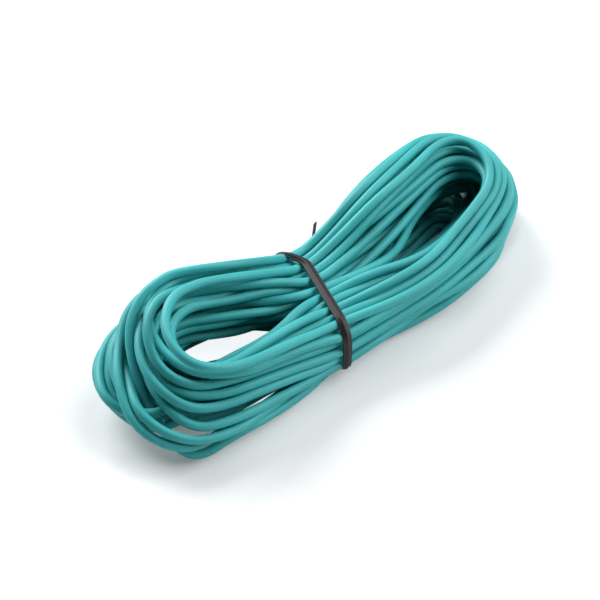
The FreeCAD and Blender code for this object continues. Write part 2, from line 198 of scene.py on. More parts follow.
     (8.8, 3.7), (12.6, 0.6), (18.2, 3.4), (16.0, 2.1), (13.6, 1.8), (12.3, 4.4), (4.9, 4.7),
     (2.5, 2.0), (-1.4, 0.9)],
    [(16.2, 4.4), (16.2, 3.7), (19.5, 3.6), (15.2, 3.3), (14.0, 3.3), (13.3, 3.1), (12.9, 2.9),
     (12.7, 2.4), (12.2, 1.4), (10.8, 1.0), (9.8, 1.1), (9.9, 1.3), (-6.1, 2.5), (-7.9, 3.7),
     (-6.2, 3.9), (-9.4, 4.1), (-11.0, 4.4), (-10.4, 4.8), (9.6, 5.6), (9.8, 6.0), (11.6, 6.4),
     (14.4, 7.9), (18.2, 9.4), (17.3, 12.4), (14.0, 12.7), (11.1, 13.7), (10.2, 13.7), (10.2, 14.3),
     (9.2, 12.2), (6.6, 5.5)],
    [(7.5, 6.1), (9.4, 7.8), (13.0, 9.3), (10.0, 10.5), (11.5, 11.0), (14.2, 11.1), (16.7, 10.6),
     (19.1, 9.9), (20.0, 10.2), (19.6, 8.9), (18.0, 9.0), (17.2, 9.1), (-11.5, 9.6), (-11.7, 10.0),
     (-9.4, 10.0), (-12.9, 10.6), (-14.1, 11.2), (-12.8, 11.7), (11.6, 12.5), (11.4, 13.0),
     (12.2, 13.9), (13.8, 14.0), (13.6, 14.9), (12.9, 15.4), (11.8, 17.2), (10.2, 18.4),
     (9.7, 18.9), (9.4, 20.1), (8.5, 18.9), (8.7, 12.5)],
    [(11.5, 10.7), (11.3, 13.7), (13.4, 16.3), (10.0, 19.3), (11.1, 20.1), (13.4, 19.8),
     (15.0, 17.6), (14.4, 15.2), (12.8, 14.4), (11.8, 13.0), (11.0, 13.1), (11.2, 14.2),
     (-7.4, 15.3), (-5.7, 16.8), (-1.5, 13.7), (-7.4, 16.0), (-11.4, 15.7), (-10.5, 16.3),
     (9.5, 17.7), (9.1, 18.7), (8.9, 20.0), (8.2, 20.1), (8.1, 20.1), (6.8, 20.2), (5.6, 20.3),
     (4.7, 20.3), (4.7, 20.2), (4.3, 20.2), (3.4, 18.8), (4.4, 15.6)],
    [(7.0, 12.2), (7.8, 16.3), (7.9, 18.0), (3.7, 20.5), (3.9, 20.9), (5.6, 21.6), (9.5, 21.1),
     (13.3, 18.7), (16.1, 14.8), (11.3, 10.1), (9.7, 9.9), (10.1, 9.9), (-7.6, 11.1), (-10.2, 11.9),
     (-8.3, 12.0), (-11.4, 12.7), (-12.4, 13.4), (-11.2, 14.1), (10.4, 15.7), (10.1, 16.7),
     (10.4, 18.2), (10.4, 19.7), (10.3, 20.5), (10.3, 20.6), (8.8, 21.1), (7.1, 21.3), (6.6, 21.5),
     (5.5, 22.0), (3.2, 21.3), (2.1, 16.5)],
    [(4.4, 14.4), (5.1, 15.9), (9.2, 15.9), (5.9, 17.5), (6.1, 17.3), (8.0, 17.6), (11.3, 18.0),
     (16.0, 17.8), (19.2, 16.3), (19.9, 14.1), (18.9, 12.9), (18.6, 12.2), (-13.9, 10.7),
     (-15.3, 9.0), (-12.8, 8.1), (-16.3, 8.8), (-17.3, 9.5), (-16.5, 10.1), (17.0, 11.1),
     (14.9, 11.4), (15.7, 11.1), (16.9, 11.8), (18.3, 13.1), (19.4, 14.0), (18.4, 14.8),
     (16.6, 15.7), (14.9, 15.3), (14.0, 15.9), (11.5, 13.2), (9.0, 5.9)],
    [(9.3, 4.9), (12.4, 9.1), (14.8, 8.0), (12.2, 9.3), (15.1, 9.7), (21.0, 10.0), (24.5, 8.7),
     (24.0, 6.9), (23.2, 4.7), (16.8, 6.5), (13.8, 7.1), (13.2, 7.7), (-7.1, 9.0), (-7.2, 9.7),
     (-5.1, 10.2), (-7.9, 9.6), (-8.8, 8.8), (-8.4, 8.5), (7.3, 9.1), (7.3, 9.0), (8.3, 9.2),
     (10.2, 9.4), (14.3, 9.5), (17.3, 7.4), (10.1, 9.7), (6.4, 10.6), (5.0, 11.2), (3.4, 11.8),
     (-3.8, 12.5), (-4.2, 14.1)],
    [(0.4, 14.5), (-0.5, 16.3), (9.7, 13.6), (5.2, 13.3), (5.2, 13.2), (6.3, 13.0), (8.4, 12.5),
     (10.6, 10.8), (8.5, 6.9), (6.0, 6.2), (5.2, 6.1), (5.2, 6.1), (-1.3, 6.9), (-3.7, 7.5),
     (-2.1, 8.0), (-4.2, 7.4), (-4.5, 6.1), (-4.3, 5.3), (4.0, 3.4), (3.7, 3.4), (4.0, 3.3),
     (4.9, 3.1), (8.3, 3.8), (14.9, 2.3), (20.0, 1.8), (14.0, 4.9), (8.6, 4.9), (6.0, 7.2),
     (2.8, 8.8), (0.4, 10.0)],
    [(0.4, 11.1), (3.8, 7.7), (7.6, 7.5), (3.9, 11.0), (4.5, 10.7), (7.3, 10.8), (11.0, 10.6),
     (12.6, 9.5), (10.9, 6.4), (8.2, 5.1), (7.1, 5.1), (6.9, 5.2), (-3.4, 6.3), (-5.9, 7.5),
     (-4.2, 8.1), (-6.5, 7.7), (-7.1, 7.6), (-6.4, 7.4), (5.6, 7.3), (5.7, 7.2), (6.7, 7.2),
     (9.5, 7.3), (16.7, 7.6), (19.2, 9.4), (11.0, 11.6), (8.0, 12.1), (6.9, 12.4), (6.7, 13.2),
     (4.9, 11.7), (2.1, 11.4)],
    [(3.5, 10.7), (2.7, 13.3), (4.5, 12.9), (2.1, 14.5), (2.8, 14.6), (4.1, 14.8), (8.1, 14.8),
     (10.5, 13.4), (10.2, 10.6), (7.7, 8.3), (6.5, 8.2), (6.4, 8.2), (-2.5, 9.8), (-3.6, 11.4),
     (-1.8, 12.5), (-4.8, 11.6), (-5.9, 10.5), (-6.3, 9.7), (5.0, 9.5), (5.1, 9.4), (5.9, 9.3),
     (7.6, 9.0), (11.5, 8.0), (21.1, 4.3), (11.5, 7.6), (7.9, 8.7), (6.6, 9.4), (5.2, 11.3),
     (2.5, 13.1), (1.8, 13.7)],
    [(5.2, 12.1), (2.6, 15.9), (5.5, 17.4), (1.4, 20.7), (1.2, 20.4), (2.3, 20.8), (3.7, 21.1),
     (8.1, 20.9), (12.3, 19.7), (14.9, 18.4), (15.1, 16.7), (14.2, 16.3), (-8.6, 16.9),
     (-8.6, 16.0), (-6.0, 13.6), (-13.2, 16.7), (-14.3, 17.5), (-11.4, 18.4), (10.6, 20.5),
     (9.6, 21.1), (9.3, 22.1), (9.2, 23.0), (9.3, 23.5), (9.6, 23.8), (8.7, 24.1), (7.0, 24.3),
     (6.4, 24.3), (4.8, 24.6), (3.8, 23.5), (4.2, 17.5)],
    [(7.0, 14.1), (4.5, 19.7), (5.1, 24.4), (1.4, 27.0), (1.0, 26.8), (1.7, 27.0), (3.1, 27.3),
     (7.7, 27.8), (14.8, 26.8), (21.2, 24.9), (20.7, 22.0), (19.0, 19.4), (-12.8, 17.4),
     (-12.2, 14.2), (-10.4, 14.2), (-17.3, 15.0), (-17.9, 15.6), (-15.3, 15.8), (12.9, 16.6),
     (12.2, 17.4), (12.7, 19.1), (12.6, 20.2), (12.6, 20.4), (13.2, 20.1), (13.6, 21.1),
     (12.8, 22.1), (12.3, 22.6), (11.2, 23.9), (8.8, 23.4), (8.7, 17.0)],
    [(11.8, 13.6), (6.9, 21.4), (8.1, 25.4), (7.7, 25.8), (8.4, 25.5), (11.5, 24.5), (15.3, 21.3),
     (18.3, 16.5), (22.7, 9.7), (27.4, 1.3), (22.3, 3.3), (21.3, 3.1), (-14.9, 2.4), (-13.1, 1.8),
     (-8.8, 1.7), (-13.7, 2.4), (-15.5, 2.8), (-16.6, 5.7), (15.0, 3.5), (13.5, 2.9), (13.8, 1.3),
     (8.8, 1.0), (8.0, 1.1), (9.3, 1.5), (10.1, 2.0), (8.7, 1.6), (8.2, 1.0), (10.1, 1.6),
     (7.1, 3.2), (2.6, 1.4)],
    [(3.2, 1.5), (15.9, 3.3), (16.7, 4.1), (14.7, 5.6), (15.2, 5.4), (15.6, 5.1), (15.9, 4.8),
     (15.6, 4.3), (14.5, 3.0), (13.1, 1.7), (11.9, 1.5), (12.0, 1.7), (-8.2, 2.8), (-10.1, 3.9),
     (-8.4, 4.0), (-11.4, 3.3), (-12.7, 2.6), (-12.3, 2.4), (11.5, 3.0), (11.3, 3.3), (13.0, 3.8),
     (17.5, 4.2), (21.5, 6.6), (23.3, 8.8), (19.9, 9.7), (15.0, 10.1), (13.1, 10.2), (11.9, 10.0),
     (9.4, 7.2), (4.8, 3.4)],
    [(5.0, 2.5), (13.7, 6.8), (17.6, 6.5), (16.5, 6.8), (17.8, 6.5), (18.4, 5.8), (18.8, 5.2),
     (18.4, 4.8), (17.2, 3.6), (15.5, 2.0), (14.2, 1.7), (14.2, 2.2), (-10.0, 4.0), (-11.6, 5.7),
     (-9.3, 5.9), (-12.6, 6.7), (-13.8, 7.0), (-12.9, 7.5), (11.7, 8.8), (11.6, 9.3), (12.6, 10.4),
     (14.1, 12.0), (15.5, 13.5), (15.2, 15.2), (14.1, 16.5), (12.1, 17.1), (11.1, 17.2),
     (10.1, 18.1), (8.3, 16.5), (7.5, 10.6)],
    [(10.0, 9.3), (9.6, 12.1), (13.2, 14.0), (9.9, 17.0), (11.0, 17.5), (12.8, 17.4), (15.5, 14.9),
     (16.0, 14.5), (21.2, 14.5), (25.4, 9.7), (22.5, 8.4), (21.4, 7.7), (-15.5, 6.2), (-14.8, 4.6),
     (-12.6, 4.3), (-15.4, 4.7), (-15.3, 5.1), (-14.5, 4.6), (12.9, 5.1), (13.0, 5.4), (14.0, 6.2),
     (17.5, 7.3), (21.4, 9.8), (21.8, 11.0), (19.3, 12.3), (15.0, 14.0), (12.8, 14.5), (11.7, 15.9),
     (9.7, 14.5), (7.3, 8.0)],
    [(8.9, 7.5), (10.4, 9.9), (13.4, 11.8), (10.5, 13.9), (12.0, 14.4), (16.3, 15.3), (20.0, 14.2),
     (22.3, 11.7), (25.5, 10.7), (16.5, 11.2), (13.8, 11.5), (13.2, 12.0), (-6.9, 13.2),
     (-6.6, 13.9), (-4.0, 14.4), (-8.5, 13.7), (-10.3, 13.5), (-9.1, 14.4), (8.2, 15.4),
     (8.1, 15.8), (8.9, 16.5), (9.8, 17.4), (9.4, 17.7), (8.2, 17.6), (6.2, 17.9), (4.8, 17.9),
     (4.5, 18.0), (3.9, 17.9), (1.4, 17.4), (0.1, 15.6)],
    [(2.0, 14.3), (2.4, 18.2), (6.5, 20.1), (6.5, 19.5), (5.5, 19.5), (6.2, 19.3), (7.0, 19.2),
     (10.0, 18.5), (13.3, 17.0), (13.4, 14.8), (13.0, 14.2), (13.5, 14.2), (-9.0, 14.6),
     (-9.8, 13.8), (-8.5, 14.2), (-14.4, 14.6), (-15.7, 15.7), (-12.8, 16.5), (11.5, 18.4),
     (11.2, 19.5), (11.1, 20.7), (11.2, 22.0), (11.3, 22.4), (11.8, 21.9), (11.9, 22.7),
     (10.8, 23.2), (10.1, 23.3), (8.8, 23.9), (6.4, 23.4), (6.3, 17.1)],
    [(9.0, 13.8), (7.7, 18.2), (10.2, 23.1), (7.4, 23.4), (7.6, 23.4), (9.4, 23.3), (11.3, 22.6),
     (12.7, 21.4), (14.8, 20.1), (17.0, 18.6), (17.5, 17.2), (18.6, 16.2), (-13.1, 14.8),
     (-14.2, 12.9), (-12.8, 12.0), (-15.9, 12.9), (-16.7, 13.4), (-15.5, 13.7), (14.6, 14.6),
     (13.9, 15.3), (14.4, 16.6), (13.9, 17.5), (14.7, 18.4), (15.4, 18.9), (15.4, 19.8),
     (14.4, 20.5), (13.5, 20.8), (12.9, 21.8), (11.0, 20.4), (10.6, 10.9)],
]


def turn_sections():
    """Origin and direction, in plan, of the sections of a turn, from the tie's back."""
    tie = (tie_x, waist_y, tie_slant, 1.0)
    near = [(x, 0.0, 0.0, 1.0) for x in near_cuts]
    far = [(x, 0.0, 0.0, 1.0) for x in far_cuts]
    fan = [fan_angle * step for step in fan_steps]
    near_fan = [near_middle + (-math.cos(a), -math.sin(a)) for a in fan]
    far_fan = [far_middle + (math.cos(a), math.sin(a)) for a in fan]
    return [tie] + near + near_fan + near[::-1] + [tie] + far + far_fan + far[::-1]


def wire_stations():
    """Points that the wire runs through, turn after turn, each from its place in its section."""
    sections = turn_sections()
    points = []

    def place(section, out, height):
        x, y, along_x, along_y = section
        points.append([x + out * along_x, y + out * along_y, height])

    place(sections[-1], *wire_start)
    for turn in turns:
        for section, (out, height) in zip(sections, turn):
            place(section, out, height)
    for section, (out, height) in zip(sections, wire_finish):
        place(section, out, height)
    return points


def nurbs_line(points, name, resolution):
    """The points of a smooth NURBS line that has these as its control points."""
    curve = bpy.data.curves.new(name, "CURVE")
    curve.dimensions = "3D"
    spline = curve.splines.new("NURBS")
    spline.points.add(len(points) - 1)
    spline.points.foreach_set("co", np.c_[np.array(points), np.ones(len(points))].ravel())
    spline.order_u = 3
    spline.use_endpoint_u = True
    spline.resolution_u = resolution
    drawn = bpy.data.objects.new(name, curve)
    mesh = bpy.data.meshes.new_from_object(drawn)
    line = np.empty(len(mesh.vertices) * 3)
    mesh.vertices.foreach_get("co", line)
    bpy.data.meshes.remove(mesh)
    bpy.data.objects.remove(drawn)
    bpy.data.curves.remove(curve)
    return line.reshape(-1, 3)


def even_points(line, step):
    """The same line with its points an even step apart."""
    run = np.r_[0.0, np.cumsum(np.linalg.norm(np.diff(line, axis=0), axis=1))]
    at = np.linspace(0.0, run[-1], int(round(run[-1] / step)) + 1)
    return np.stack([np.interp(at, run, line[:, axis]) for axis in range(3)], axis=-1)


def near_pairs(line, reach):
    """Pairs of the wire's short pieces that lie within reach and aren't neighbours along it."""
    block_size, neighbours = 500, 3
    middle = 0.5 * (line[1:] + line[:-1])
    square = (middle ** 2).sum(axis=1)
    first, second = [], []
    for start in range(0, len(middle), block_size):
        block = slice(start, min(len(middle), start + block_size))
        apart = square[block, None] + square[None, start:] - 2.0 * middle[block] @ middle[start:].T
        one, two = np.nonzero(apart < reach * reach)
        keep = two - one > neighbours
        first.append(one[keep] + start)
        second.append(two[keep] + start)
    return np.concatenate(first), np.concatenate(second)


def contact_push(line, first, second):
    """How far each point has to move for strands that touch to lie a wire's width apart."""
    # where each pair of pieces comes nearest: at s along the first and t along the second
    p, q = line[first], line[second]
    along_p, along_q, between = line[first + 1] - p, line[second + 1] - q, p - q
    a = (along_p ** 2).sum(axis=1)
    b = (along_p * along_q).sum(axis=1)
    c = (along_p * between).sum(axis=1)
    e = (along_q ** 2).sum(axis=1)
    f = (along_q * between).sum(axis=1)
    s = np.clip((b * f - c * e) / np.maximum(a * e - b * b, 1e-9), 0.0, 1.0)
    t = (b * s + f) / e
    s = np.where(t < 0.0, np.clip(-c / a, 0.0, 1.0),
                 np.where(t > 1.0, np.clip((b - c) / a, 0.0, 1.0), s))
    t = np.clip(t, 0.0, 1.0)
    away = (p + along_p * s[:, None]) - (q + along_q * t[:, None])
    apart = np.sqrt((away ** 2).sum(axis=1))
    hit = apart < wire_gap
    away, s, t, first, second = away[hit], s[hit], t[hit], first[hit], second[hit]
    apart = np.maximum(apart[hit], 1e-6)
    away = away / apart[:, None] * (wire_gap - apart)[:, None]
    # each strand of a pair gives way by half
    push, weight = np.zeros_like(line), np.zeros(len(line))
    for at, part, share in ((first, 1.0 - s, 0.5), (first + 1, s, 0.5),
                            (second, 1.0 - t, -0.5), (second + 1, t, -0.5)):
        for axis in range(3):
            push[:, axis] += np.bincount(at, part * share * away[:, axis], len(line))
        weight += np.bincount(at, part, len(line))
    return push / np.maximum(weight, 1.0)[:, None]


def settled(line, rounds):
    """The wire once its strands rest on each other, on the floor and on the tie."""
    reach, look_again, press, tie_side = 4.6, 12, 1.2, 3.0
    well_eased, eased = 0.7 * rounds, 0.9 * rounds
    moved = np.zeros_like(line)
    for turn in range(rounds):
        if turn % look_again == 0:
            first, second = near_pairs(line + moved, reach)
        moved += press * contact_push(line + moved, first, second)
        # a strand is stiff, so what moves one place moves its neighbours too
        if turn < eased:
            for _ in range(3 if turn < well_eased else 1):
                moved[1:-1] = 0.25 * moved[:-2] + 0.5 * moved[1:-1] + 0.25 * moved[2:]
        at = line + moved
        at_tie = np.abs(at[:, 0] - tie_x - tie_slant * (at[:, 1] - waist_y)) < tie_side
        low = np.where(at_tie, waist_low, 0.5 * wire_od)
        moved[:, 2] += np.maximum(0.0, low - at[:, 2])
    return line + moved


control_step, settle_rounds = 2.5, 400
wire_line = even_points(nurbs_line(wire_stations(), "wire_stations", 8), control_step)
wire_path = nurbs_line(settled(wire_line, settle_rounds), "wire_line", 3)


def sides_along(path):
    """Two directions at each point of a path, square to it and to each other, that don't twist."""
    ahead = np.gradient(path, axis=0)
    ahead /= np.linalg.norm(ahead, axis=1)[:, None]
    side = np.empty_like(ahead)
    side[0] = np.cross(ahead[0], (0.0, 0.0, 1.0))
    for n in range(1, len(path)):
        side[n] = side[n - 1] - ahead[n] * (side[n - 1] @ ahead[n])
        side[n] /= np.linalg.norm(side[n])
    side[0] /= np.linalg.norm(side[0])
    return side, np.cross(ahead, side)


def swept(name, rings, run, ring_turn):
    """A closed tube through rings of points, with a UV map of turn and run in millimetres."""
    count, sides = rings.shape[:2]
    corner = np.arange(count * sides).reshape(count, sides)
    nxt = np.roll(corner, -1, axis=1)
    quads = np.stack([corner[:-1], nxt[:-1], nxt[1:], corner[1:]], axis=-1).reshape(-1, 4)
    mesh = bpy.data.meshes.new(name)
    faces = quads.tolist() + [corner[0, ::-1].tolist(), corner[-1].tolist()]
    mesh.from_pydata((rings.reshape(-1, 3) * MM).tolist(), [], faces)
    turn = np.r_[ring_turn, ring_turn[0] + (ring_turn[-1] - ring_turn[0]) * sides / (sides - 1.0)]
    left = np.broadcast_to(turn[:-1], (count - 1, sides))
    right = np.broadcast_to(turn[1:], (count - 1, sides))
    low = np.broadcast_to(run[:-1, None], (count - 1, sides))
    high = np.broadcast_to(run[1:, None], (count - 1, sides))
    across = np.stack([left, right, right, left], axis=-1).reshape(-1)
    along = np.stack([low, low, high, high], axis=-1).reshape(-1)
    uv = np.c_[across, along]
    ends = np.zeros((2 * sides, 2))
    mesh.uv_layers.new(name="wound").data.foreach_set("uv", np.vstack([uv, ends]).ravel())
    mesh.polygons.foreach_set("use_smooth", [True] * (len(faces) - 2) + [False] * 2)
    mesh.validate()
    piece = bpy.data.objects.new(name, mesh)
    scene.collection.objects.link(piece)
    return piece


jacket_sides, jacket_step = 12, 1.14
ring_path = even_points(wire_path, jacket_step)
ring_run = np.arange(len(ring_path)) * jacket_step
ring_side, ring_up = sides_along(ring_path)


def tube_rings(path, side, up, radius, sides):
    """Rings of points round a path. Its flats are moved out so that it keeps its girth."""
    turn = 2.0 * math.pi * np.arange(sides) / sides
    girth = radius * (1.0 + (math.pi / sides) ** 2 / 6.0)
    outward = (side[:, None] * np.cos(turn)[None, :, None]
               + up[:, None] * np.sin(turn)[None, :, None])
    return path[:, None] + girth * outward, turn * radius


rings, turn = tube_rings(ring_path, ring_side, ring_up, 0.5 * wire_od, jacket_sides)
jacket = swept("wire_jacket", rings, ring_run, turn)


def linear(hex_colour):
    """An sRGB hex colour as linear RGBA."""
    parts = [int(hex_colour[n:n + 2], 16) / 255.0 for n in (1, 3, 5)]
    return [v / 12.92 if v <= 0.04045 else ((v + 0.055) / 1.055) ** 2.4 for v in parts] + [1.0]


def new_material(name):
    """An empty node material with its shader and output in place."""
    material = bpy.data.materials.new(name)
    material.use_nodes = True
    return material, material.node_tree, material.node_tree.nodes["Principled BSDF"]


def add(tree, kind, links=(), **settings):
    """A node with its settings, its sockets' values and its incoming links."""
    node = tree.nodes.new(kind)
    for key, value in settings.items():
        if key in node.inputs:
            node.inputs[key].default_value = value
        else:
            setattr(node, key, value)
    for socket, source in links:
        tree.links.new(source, node.inputs[socket])
    return node


# Flexible PVC, extruded over the strands: smooth with a soft satin gloss, and faint
# lines along the wire where it left the die. Its teal is even, a little deeper in places.
pvc, tree, shader = new_material("Satin teal PVC, extruded")
uv = add(tree, "ShaderNodeUVMap", uv_map="wound")
tone = add(tree, "ShaderNodeTexNoise", [("Vector", uv.outputs["UV"])], Scale=0.045, Detail=2.0)
teal = add(tree, "ShaderNodeValToRGB", [("Fac", tone.outputs["Fac"])])
teal.color_ramp.elements[0].position = 0.35
teal.color_ramp.elements[0].color = linear("#31a0a2")
teal.color_ramp.elements[1].position = 0.68
teal.color_ramp.elements[1].color = linear("#3cb2b4")
tree.links.new(teal.outputs["Color"], shader.inputs["Base Color"])
die = add(tree, "ShaderNodeMapping", [("Vector", uv.outputs["UV"])], Scale=(1.0, 0.02, 1.0))
die_lines = add(tree, "ShaderNodeTexNoise", [("Vector", die.outputs["Vector"])],
                Scale=6.0, Detail=3.0)
relief = add(tree, "ShaderNodeBump", [("Height", die_lines.outputs["Fac"])],
             Strength=0.12, Distance=0.00005)
tree.links.new(relief.outputs["Normal"], shader.inputs["Normal"])
shader.inputs["Roughness"].default_value = 0.48
shader.inputs["Specular IOR Level"].default_value = 0.38
jacket.data.materials.append(pvc)

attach(jacket, "root")
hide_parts("wire_insulation")


# ------------------------------------------------------ the copper conductor
# Sixteen or so bare copper wires, bunched with a slow twist, fill the middle of the wire
# from end to end. They show as bright specks at the two cut ends, behind the waist.

conductor_od = 0.95
conductor_sides, conductor_step = 8, 2.3
core_path = even_points(wire_path, conductor_step)
core_run = np.arange(len(core_path)) * conductor_step
core_side, core_up = sides_along(core_path)
rings, turn = tube_rings(core_path, core_side, core_up, 0.5 * conductor_od, conductor_sides)
conductor = swept("copper_conductor", rings, core_run, turn)

# Bare copper, drawn and bunched: bright metal, with painted shade making it darker in the grooves
# between the strands.
copper, tree, shader = new_material("Bare copper, bunched strands")
uv = add(tree, "ShaderNodeUVMap", uv_map="wound")
lay = add(tree, "ShaderNodeMapping", [("Vector", uv.outputs["UV"])],
          Rotation=(0.0, 0.0, math.radians(12.0)))
strands = add(tree, "ShaderNodeTexWave", [("Vector", lay.outputs["Vector"])],
              Scale=1.6, Distortion=0.2)
# the ramp's dark end is painted shade in the grooves between the strands, its light end the bright
# copper
copper_with_groove_shade = add(tree, "ShaderNodeValToRGB", [("Fac", strands.outputs["Fac"])])
copper_with_groove_shade.color_ramp.elements[0].color = linear("#8d4a2c")
copper_with_groove_shade.color_ramp.elements[1].color = linear("#d98a5f")
tree.links.new(copper_with_groove_shade.outputs["Color"], shader.inputs["Base Color"])
relief = add(tree, "ShaderNodeBump", [("Height", strands.outputs["Fac"])],
             Strength=0.5, Distance=0.00008)
tree.links.new(relief.outputs["Normal"], shader.inputs["Normal"])
shader.inputs["Metallic"].default_value = 1.0
shader.inputs["Roughness"].default_value = 0.32
conductor.data.materials.append(copper)

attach(conductor, "root")
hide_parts("wire_conductor")


# ------------------------------------------------------------- the twist tie
# A black plastic-coated steel tie: a flat ribbon 2.2 mm wide with a round rib down its
# middle. It goes once round the waist. Its ends are twisted together behind the hank,
# folded flat along it, and their tails stick out, one of them standing up.

tie_thick = 0.75
# half of the ribbon's outline, from its flat underside round its edge to the side of its rib
rib_side = [(1.0, 0.0), (1.07, 0.07), (1.1, 0.2), (1.07, 0.36), (0.98, 0.42), (0.62, 0.43),
            (0.5, 0.47), (0.4, 0.6), (0.24, 0.71)]
tie_clear = 0.12
tie_step = 0.45
pair_gap = 0.1
twist_turns, twist_length, twist_steps = 3.5, 14.7, 54
twist_fold, fold_radius, twist_stem = math.radians(78.0), 2.0, 0.4
root_radius = 0.8
twist_rise = 3.4
tail_radius = 1.6
band_lean, lean_start, lean_run = 4.5, 6.0, 8.0

tie_along = np.array((tie_slant, 1.0, 0.0)) / math.hypot(tie_slant, 1.0)
tie_across = np.array((1.0, -tie_slant, 0.0)) / math.hypot(tie_slant, 1.0)
tie_up = np.array((0.0, 0.0, 1.0))
tie_middle = np.array((tie_x, waist_y, 0.0))


def lean(along):
    """How far the band stands off its own plane: it slides to one side down its back."""
    part = np.clip((np.asarray(along) - lean_start) / lean_run, 0.0, 1.0)
    return -band_lean * part * part * (3.0 - 2.0 * part)


def strands_under_tie():
    """Where the wire crosses the tie's own surface, as (along, up) in mm."""
    off = (wire_path - tie_middle) @ tie_across
    off = off - lean((wire_path - tie_middle) @ tie_along)
    cross = np.nonzero(off[1:] * off[:-1] < 0.0)[0]
    part = (off[cross] / (off[cross] - off[cross + 1]))[:, None]
    at = wire_path[cross] + (wire_path[cross + 1] - wire_path[cross]) * part
    return np.c_[(at - tie_middle) @ tie_along, at[:, 2]]


def hull(points):
    """The convex outline of flat points, counter-clockwise."""
    points = sorted(map(tuple, points))

    def chain(some):
        out = []
        for p in some:
            while len(out) > 1 and ((out[-1][0] - out[-2][0]) * (p[1] - out[-2][1])
                                    - (out[-1][1] - out[-2][1]) * (p[0] - out[-2][0])) <= 0.0:
                out.pop()
            out.append(p)
        return out

    return np.array(chain(points)[:-1] + chain(points[::-1])[:-1])


def rounded_outline(corners, reach, step):
    """The outline that stays a fixed reach outside the corners, as (along, up)."""
    points = []
    count = len(corners)
    for n in range(count):
        before, here, after = corners[n - 1], corners[n], corners[(n + 1) % count]
        one = math.atan2(*(here - before)[::-1]) - 0.5 * math.pi
        two = math.atan2(*(after - here)[::-1]) - 0.5 * math.pi
        swing = (two - one) % (2.0 * math.pi)
        for part in np.linspace(0.0, 1.0, max(2, int(swing * reach / step) + 1)):
            side = np.array((math.cos(one + swing * part), math.sin(one + swing * part)))
            points.append(here + side * reach)
    return np.array(points)


band_reach, corner_step, band_rounds = 0.5 * wire_od + tie_clear + 0.5 * tie_thick, 0.3, 6
band = rounded_outline(hull(strands_under_tie()), band_reach, corner_step)
band = even_points(np.c_[np.vstack([band, band[:1]]), np.zeros(len(band) + 1)], tie_step)[:-1, :2]
for _ in range(band_rounds):
    band = 0.25 * np.roll(band, 1, axis=0) + 0.5 * band + 0.25 * np.roll(band, -1, axis=0)
# the band starts and ends where its back stands furthest out, near the height of the twist
back = int(np.argmin(np.abs(band[:, 1] - twist_rise) - 0.2 * band[:, 0]))
back_out = band[back, 0] + 0.5 * tie_thick
band = np.roll(band, -back, axis=0)
exit_out = root_radius + tie_thick
keep = np.abs(band[:, 1] - twist_rise) > exit_out + 0.5 * pair_gap
keep |= band[:, 0] < 0.0
band = band[keep]


def band_stations():
    """The ribbon round the waist, from its root's upper side over the top to its lower side."""
    stations = []

    def flare(up_by, start, stop):
        for part in np.linspace(0.0, 1.0, 6):
            angle = math.radians(start + (stop - start) * part)
            spoke = np.array((math.cos(angle), math.sin(angle)))
            at = np.array((back_out + exit_out - 0.5 * tie_thick, twist_rise + up_by)) \
                + spoke * (root_radius + 0.5 * tie_thick)
            stations.append((at, -spoke))

    flare(0.5 * pair_gap + exit_out, 270.0, 190.0)
    ahead = np.gradient(band, axis=0)
    ahead /= np.linalg.norm(ahead, axis=1)[:, None]
    for at, way in zip(band[1:-1], ahead[1:-1]):
        stations.append((at, np.array((way[1], -way[0]))))
    flare(-0.5 * pair_gap - exit_out, 170.0, 90.0)
    return [(tie_middle + tie_along * at[0] + tie_up * at[1] + tie_across * lean(at[0]),
             tie_across, tie_along * out[0] + tie_up * out[1]) for at, out in stations]


def twist_stations():
    """The middle of the twisted pair and its frame, from the root to the free end."""
    root = tie_middle + tie_along * (back_out + exit_out) + tie_up * twist_rise
    root = root + tie_across * lean(back_out)
    stations = []
    for n in range(twist_steps + 1):
        run = twist_length * n / twist_steps
        turned = min(max(run - twist_stem, 0.0) / fold_radius, twist_fold)
        rest = max(run - twist_stem - fold_radius * twist_fold, 0.0)
        ahead = tie_along * math.cos(turned) + tie_across * math.sin(turned)
        wide = tie_across * math.cos(turned) - tie_along * math.sin(turned)
        at = root + tie_along * min(run, twist_stem) + ahead * rest
        at = at + tie_across * (fold_radius * (1.0 - math.cos(turned)))
        at = at + tie_along * (fold_radius * math.sin(turned))
        angle = 2.0 * math.pi * twist_turns * n / twist_steps
        stations.append((at, ahead, wide * math.cos(angle) + tie_up * math.sin(angle),
                         tie_up * math.cos(angle) - wide * math.sin(angle)))
    return stations


def tail_stations(start, ahead, bend, length, turn):
    """A free tail: it bends towards its rib, turns over in the bend, then runs straight."""
    at, wide, thick = start
    stations = []
    radius = tail_radius + 0.5 * tie_thick
    for part in np.linspace(0.0, 1.0, 9)[1:]:
        angle, roll = math.radians(bend) * part, math.radians(turn) * part
        way = ahead * math.cos(angle) + thick * math.sin(angle)
        out = thick * math.cos(angle) - ahead * math.sin(angle)
        stations.append((at + ahead * (radius * math.sin(angle))
                         + thick * (radius * (1.0 - math.cos(angle))),
                         wide * math.cos(roll) + out * math.sin(roll),
                         out * math.cos(roll) - wide * math.sin(roll)))
    at, wide, thick = stations[-1]
    stations += [(at + way * length * part, wide, thick) for part in np.linspace(0.0, 1.0, 12)[1:]]
    return stations


twist = twist_stations()
offset = 0.5 * (pair_gap + tie_thick)
first = [(at + thick * offset, wide, thick) for at, _, wide, thick in twist]
second = [(at - thick * offset, wide, -thick) for at, _, wide, thick in twist]
ahead = twist[-1][1]
lower_tail = tail_stations(first[-1], ahead, bend=20.0, length=2.5, turn=-30.0)
upper_tail = tail_stations(second[-1], ahead, bend=82.0, length=5.5, turn=-43.0)
stations = lower_tail[::-1] + first[:0:-1] + band_stations() + second[1:] + upper_tail

